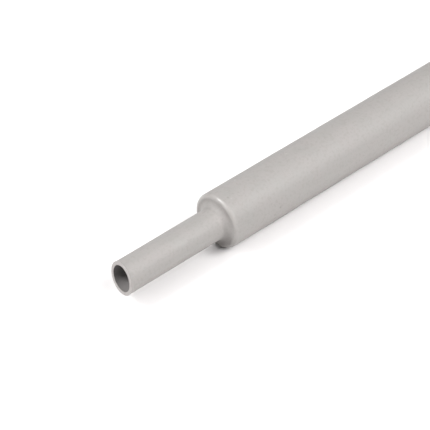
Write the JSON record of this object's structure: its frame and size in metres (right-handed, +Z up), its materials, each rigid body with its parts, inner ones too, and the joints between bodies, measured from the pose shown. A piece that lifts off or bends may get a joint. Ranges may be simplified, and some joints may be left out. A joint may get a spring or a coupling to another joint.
{
  "type": "heat shrink tube",
  "caption": "Thin-walled round polymer sleeve lying on its side, shrunk to about half its bore at one end over a rounded shoulder, to insulate, bundle or strain-relieve cable.",
  "frame": {"origin": "on the surface that the tube lies on, under the middle of its overall length", "axes": "+X along the tube, from the shrunk end to the expanded end; +Z up; +Y across the tube"},
  "size_m": [0.15, 0.0134, 0.0134],
  "materials": {
    "polyolefin": "matt extruded cross-linked polyolefin, light warm grey"
  },
  "bodies": {
    "root": {"heat_shrink_tube": "polyolefin"}
  },
  "joints": []
}
